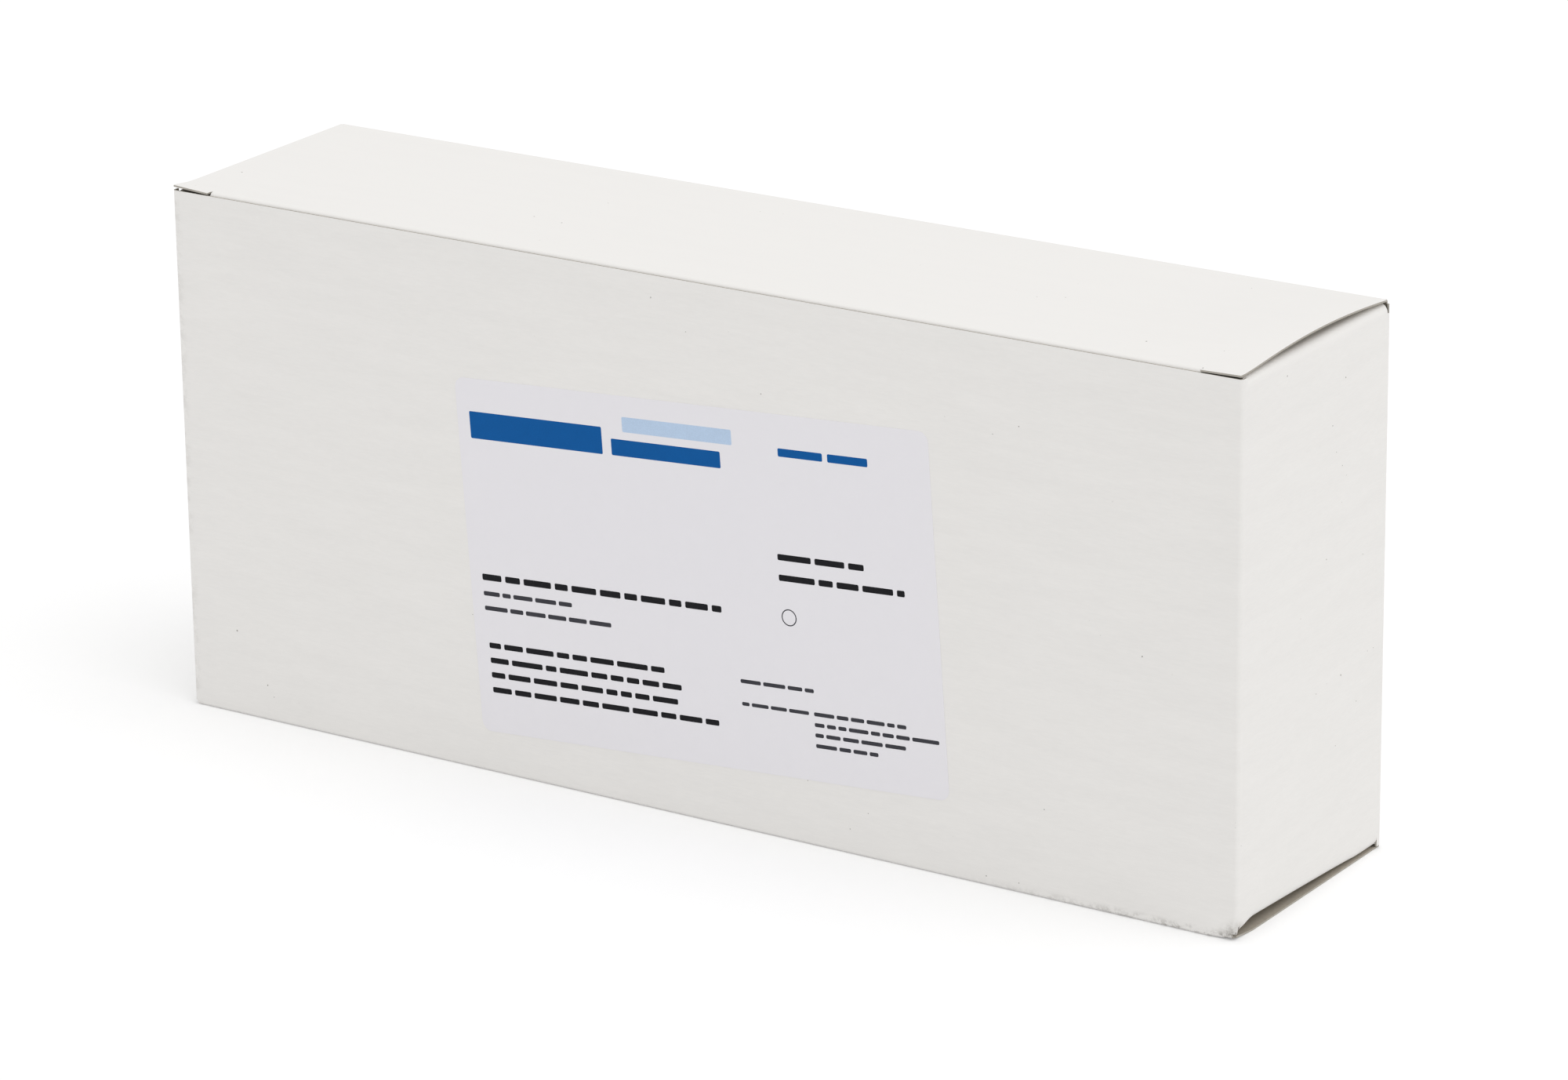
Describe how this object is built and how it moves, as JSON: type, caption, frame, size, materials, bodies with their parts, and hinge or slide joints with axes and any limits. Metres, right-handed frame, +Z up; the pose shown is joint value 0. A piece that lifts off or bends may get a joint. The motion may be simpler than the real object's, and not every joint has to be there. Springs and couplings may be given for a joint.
{
  "type": "folding carton of folded filter papers",
  "caption": "Closed white paperboard carton with tuck-in top and bottom closures and a front label, full of pleated round filter papers.",
  "frame": {"origin": "centre of the base, on the surface the carton stands on", "axes": "+X along the carton's length to the right, +Y from the front panel to the back panel, +Z up"},
  "size_m": [0.338, 0.0781, 0.152],
  "materials": {
    "paperboard": "smooth white coated face, grey-brown uncoated back",
    "label_paper": "satin white",
    "filter_paper": "matte, soft and fibrous"
  },
  "bodies": {
    "carton": {"carton_body": "paperboard", "label": "label_paper", "lower_filters_row_1": "filter_paper", "lower_filters_row_2": "filter_paper", "lower_filters_row_3": "filter_paper", "lower_filters_row_4": "filter_paper", "lower_filters_row_5": "filter_paper", "upper_filters_row_1": "filter_paper", "upper_filters_row_2": "filter_paper", "upper_filters_row_3": "filter_paper", "upper_filters_row_4": "filter_paper", "upper_filters_row_5": "filter_paper"},
    "top_closure": {"top_lid": "paperboard"},
    "bottom_closure": {"bottom_flap": "paperboard"}
  },
  "joints": [
    {"name": "lid_hinge", "type": "hinge", "parent": "carton", "child": "top_closure", "pos_m": [0, 0.039, 0.1515], "axis": [-1, 0, 0], "range_deg": [0, 179]},
    {"name": "bottom_hinge", "type": "hinge", "parent": "carton", "child": "bottom_closure", "pos_m": [0, -0.039, 0.0005], "axis": [-1, 0, 0], "range_deg": [0, 179]}
  ]
}
